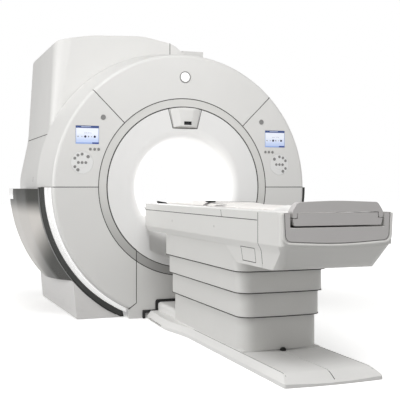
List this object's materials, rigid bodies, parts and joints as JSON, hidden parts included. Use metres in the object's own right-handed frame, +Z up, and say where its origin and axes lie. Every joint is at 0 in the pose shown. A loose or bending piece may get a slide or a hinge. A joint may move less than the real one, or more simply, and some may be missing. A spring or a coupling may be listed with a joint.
{
  "type": "mri scanner",
  "caption": "Cylindrical MRI scanner: round-fronted gantry with a tunnel bore and control panels, and a lifting patient table whose cradle slides into the bore.",
  "frame": {"origin": "floor point under the gantry's front face, below the bore's axis", "axes": "+X right facing the bore, +Y from the table into the bore, +Z up; the bore's axis is at X=0, Z=1.07 m"},
  "size_m": [2.5432, 4.144, 2.3747],
  "materials": {
    "cover": "satin",
    "bore_white": "gloss",
    "ring_grey": "satin",
    "ring_dark": "satin",
    "window_black": "gloss",
    "screen_glass": "gloss",
    "key_rubber": "matte",
    "button_grey": "satin",
    "trim_black": "satin",
    "wing_metal": "satin",
    "magnet_steel": "satin",
    "shield_aluminium": "satin",
    "winding_copper": "satin",
    "coil_resin": "matte",
    "column_steel": "satin",
    "table_cover": "satin",
    "panel_grey": "satin",
    "handle_grey": "satin",
    "gasket_rubber": "matte",
    "pad_vinyl": "satin",
    "pad_dark": "matte"
  },
  "bodies": {
    "gantry": {"band_trims": "bore_white", "base_plate": "table_cover", "bore_flare": "bore_white", "bore_liner": "bore_white", "bore_rails": "bore_white", "bore_ring": "ring_grey", "bore_ring_lower": "ring_dark", "camera_housing": "cover", "camera_window": "window_black", "cold_head": "magnet_steel", "control_cover_left": "cover", "control_cover_right": "cover", "control_screens": "screen_glass", "dock_gasket": "gasket_rubber", "edge_trims": "trim_black", "front_top_cover": "cover", "gradient_coil": "coil_resin", "helium_vessel": "magnet_steel", "keypads": "key_rubber", "lift_columns_lower": "column_steel", "lower_cover_left": "cover", "lower_cover_right": "cover", "magnet_feet": "magnet_steel", "magnet_vessel": "magnet_steel", "pedestal_tier_1": "table_cover", "pillar_cover": "cover", "plinth_cover": "cover", "rear_bore_flare": "bore_white", "rear_cover": "cover", "rf_body_coil": "coil_resin", "rim_shell": "cover", "roof_cover": "cover", "side_cover_left": "cover", "side_cover_right": "cover", "superconducting_coils": "winding_copper", "thermal_shield": "shield_aluminium", "tower_cover": "cover", "vent_duct": "cover", "wing_left": "wing_metal", "wing_right": "wing_metal"},
    "table": {"table_body": "table_cover", "table_end_cap": "table_cover", "end_panel": "panel_grey", "pedestal_tier_4": "table_cover", "lift_columns_upper": "column_steel"},
    "tier_3": {"pedestal_tier_3": "table_cover"},
    "tier_2": {"pedestal_tier_2": "table_cover"},
    "cradle": {"cradle": "table_cover", "mattress": "pad_vinyl", "head_pad": "pad_dark", "handle": "handle_grey"},
    "lever": {"release_lever": "panel_grey"},
    "button_inner_left": {"button_inner_left": "button_grey"},
    "button_inner_right": {"button_inner_right": "button_grey"},
    "button_middle_left": {"button_middle_left": "button_grey"},
    "button_middle_right": {"button_middle_right": "button_grey"},
    "button_outer_left": {"button_outer_left": "button_grey"},
    "button_outer_right": {"button_outer_right": "button_grey"},
    "button_stop_left": {"button_stop_left": "button_grey"},
    "button_stop_right": {"button_stop_right": "button_grey"}
  },
  "joints": [
    {"name": "table_lift", "type": "slide", "parent": "gantry", "child": "table", "axis": [0, 0, 1], "range_m": [-0.25, 0]},
    {"name": "tier_3_follow", "type": "slide", "parent": "gantry", "child": "tier_3", "axis": [0, 0, 1], "range_m": [-0.17, 0]},
    {"name": "tier_2_follow", "type": "slide", "parent": "gantry", "child": "tier_2", "axis": [0, 0, 1], "range_m": [-0.085, 0]},
    {"name": "cradle_slide", "type": "slide", "parent": "table", "child": "cradle", "axis": [0, 1, 0], "range_m": [0, 1.55]},
    {"name": "lever_squeeze", "type": "hinge", "parent": "cradle", "child": "lever", "pos_m": [0, -2.481, 0.925], "axis": [-1, 0, 0], "range_deg": [0, 12], "stiffness_Nm_per_rad": 6, "springref_deg": -2.86},
    {"name": "press_inner_left", "type": "slide", "parent": "gantry", "child": "button_inner_left", "axis": [0, 1, 0], "range_m": [0, 0.002], "stiffness_N_per_m": 500, "springref_m": -0.0005},
    {"name": "press_inner_right", "type": "slide", "parent": "gantry", "child": "button_inner_right", "axis": [0, 1, 0], "range_m": [0, 0.002], "stiffness_N_per_m": 500, "springref_m": -0.0005},
    {"name": "press_middle_left", "type": "slide", "parent": "gantry", "child": "button_middle_left", "axis": [0, 1, 0], "range_m": [0, 0.002], "stiffness_N_per_m": 500, "springref_m": -0.0005},
    {"name": "press_middle_right", "type": "slide", "parent": "gantry", "child": "button_middle_right", "axis": [0, 1, 0], "range_m": [0, 0.002], "stiffness_N_per_m": 500, "springref_m": -0.0005},
    {"name": "press_outer_left", "type": "slide", "parent": "gantry", "child": "button_outer_left", "axis": [0, 1, 0], "range_m": [0, 0.002], "stiffness_N_per_m": 500, "springref_m": -0.0005},
    {"name": "press_outer_right", "type": "slide", "parent": "gantry", "child": "button_outer_right", "axis": [0, 1, 0], "range_m": [0, 0.002], "stiffness_N_per_m": 500, "springref_m": -0.0005},
    {"name": "press_stop_left", "type": "slide", "parent": "gantry", "child": "button_stop_left", "axis": [0, 1, 0], "range_m": [0, 0.002], "stiffness_N_per_m": 500, "springref_m": -0.0005},
    {"name": "press_stop_right", "type": "slide", "parent": "gantry", "child": "button_stop_right", "axis": [0, 1, 0], "range_m": [0, 0.002], "stiffness_N_per_m": 500, "springref_m": -0.0005}
  ],
  "couplings": [
    {"joint": "tier_3_follow", "follows": "table_lift", "ratio": 0.66667},
    {"joint": "tier_2_follow", "follows": "table_lift", "ratio": 0.33333}
  ]
}
